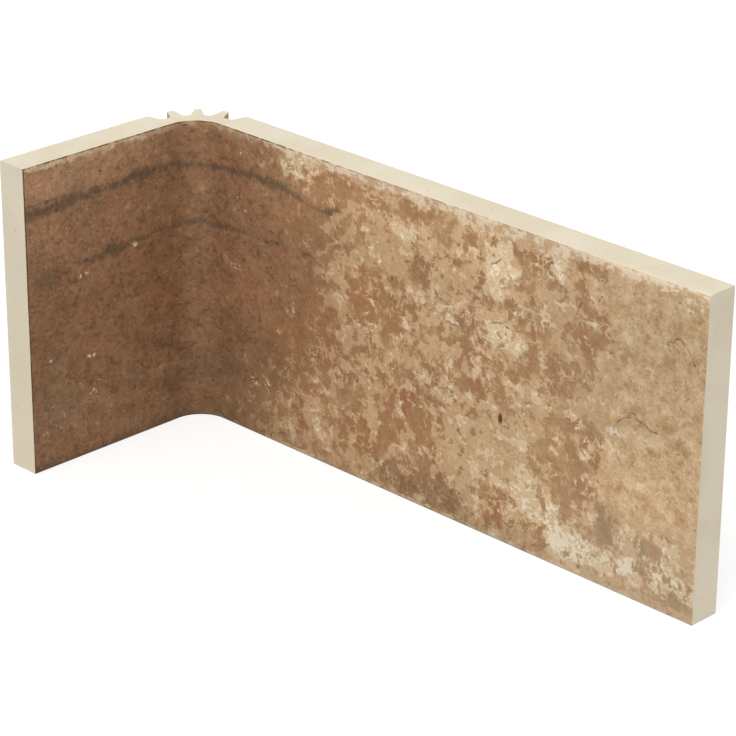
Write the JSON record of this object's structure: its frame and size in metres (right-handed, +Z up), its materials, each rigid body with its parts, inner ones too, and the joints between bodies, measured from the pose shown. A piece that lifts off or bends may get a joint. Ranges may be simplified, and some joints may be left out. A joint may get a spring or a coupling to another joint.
{
  "type": "inside corner tile",
  "caption": "L-shaped glazed clay tile for an inside wall corner, with a rounded bend, saw grooves behind it and an aged brown and cream face.",
  "frame": {"origin": "under the middle of the tile's overall outline, on the surface that it stands on", "axes": "+X along the long leg away from the bend, -Y along the short leg away from the bend, +Z up the tile's height; the glazed faces look to +X and -Y, the backs to -X and +Y"},
  "size_m": [0.1608, 0.06, 0.075],
  "materials": {
    "glazed_clay": "low-sheen mottled glaze on the inner faces, bare cream clay on the back, edges and ends"
  },
  "bodies": {
    "root": {"corner_tile": "glazed_clay"}
  },
  "joints": []
}
